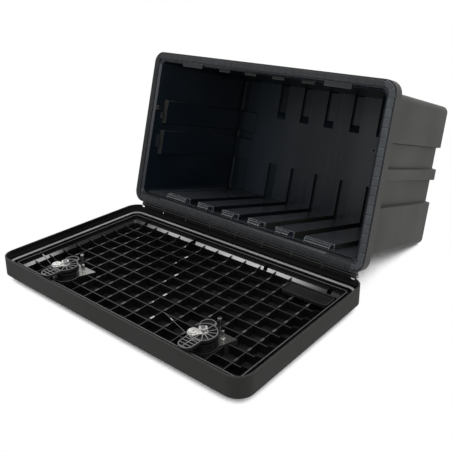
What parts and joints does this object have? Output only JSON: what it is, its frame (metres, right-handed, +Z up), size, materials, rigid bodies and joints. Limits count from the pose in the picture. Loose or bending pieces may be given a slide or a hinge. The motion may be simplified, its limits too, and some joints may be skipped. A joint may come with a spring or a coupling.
{
  "type": "toolbox",
  "caption": "Black moulded toolbox leaning back on its open drop-down door, with a sealed flange, a ribbed door on a long hinge pin, turning latches and key plugs",
  "frame": {"origin": "middle of the whole part on the floor it rests on", "axes": "+X along the hinge pin, +Y from the open door towards the box, +Z up"},
  "size_m": [0.8, 0.9848, 0.5269],
  "materials": {
    "black_shell": "fine grained black polypropylene",
    "black_inner": "smooth black polypropylene",
    "seal_rubber": "ribbed dark grey seal",
    "latch_black": "black reinforced plastic",
    "zinc": "bright zinc plate",
    "steel": "drawn steel"
  },
  "bodies": {
    "box": {"cord_eye_left": "black_inner", "cord_eye_right": "black_inner", "flange_seal": "seal_rubber", "hinge_pin": "steel", "pin_cap_left": "steel", "pin_cap_right": "steel", "tub": "black_shell"},
    "latch_left": {"knob_left": "latch_black", "spindle_left": "steel", "cam_arm_left": "latch_black", "lever_plate_left": "zinc", "cam_nut_left": "zinc"},
    "key_left": {"key_plug_left": "zinc"},
    "latch_right": {"knob_right": "latch_black", "spindle_right": "steel", "cam_arm_right": "latch_black", "lever_plate_right": "zinc", "cam_nut_right": "zinc"},
    "key_right": {"key_plug_right": "zinc"},
    "door": {"bearing_left": "latch_black", "bearing_right": "latch_black", "crimp_sleeve_left": "zinc", "crimp_sleeve_right": "zinc", "door_inner_frame": "black_inner", "door_shell": "black_shell", "eyelet_left": "zinc", "eyelet_right": "zinc", "keeper_wire_left": "steel", "keeper_wire_right": "steel", "paper_tray": "black_inner", "stop_post_left": "steel", "stop_post_right": "steel"}
  },
  "joints": [
    {"name": "door_hinge", "type": "hinge", "parent": "box", "child": "door", "pos_m": [0, -0.01669, 0.06686], "axis": [-1, 0, 0], "range_deg": [0, 104.84]},
    {"name": "latch_turn_left", "type": "hinge", "parent": "door", "child": "latch_left", "pos_m": [-0.2335, -0.40939, 0.02], "axis": [0, 0, 1], "range_deg": [0, 90]},
    {"name": "key_turn_left", "type": "hinge", "parent": "latch_left", "child": "key_left", "pos_m": [-0.2335, -0.40939, 0.01], "axis": [0, 0, 1], "range_deg": [0, 90]},
    {"name": "latch_turn_right", "type": "hinge", "parent": "door", "child": "latch_right", "pos_m": [0.2335, -0.40939, 0.02], "axis": [0, 0, 1], "range_deg": [0, 90]},
    {"name": "key_turn_right", "type": "hinge", "parent": "latch_right", "child": "key_right", "pos_m": [0.2335, -0.40939, 0.01], "axis": [0, 0, 1], "range_deg": [0, 90]}
  ]
}
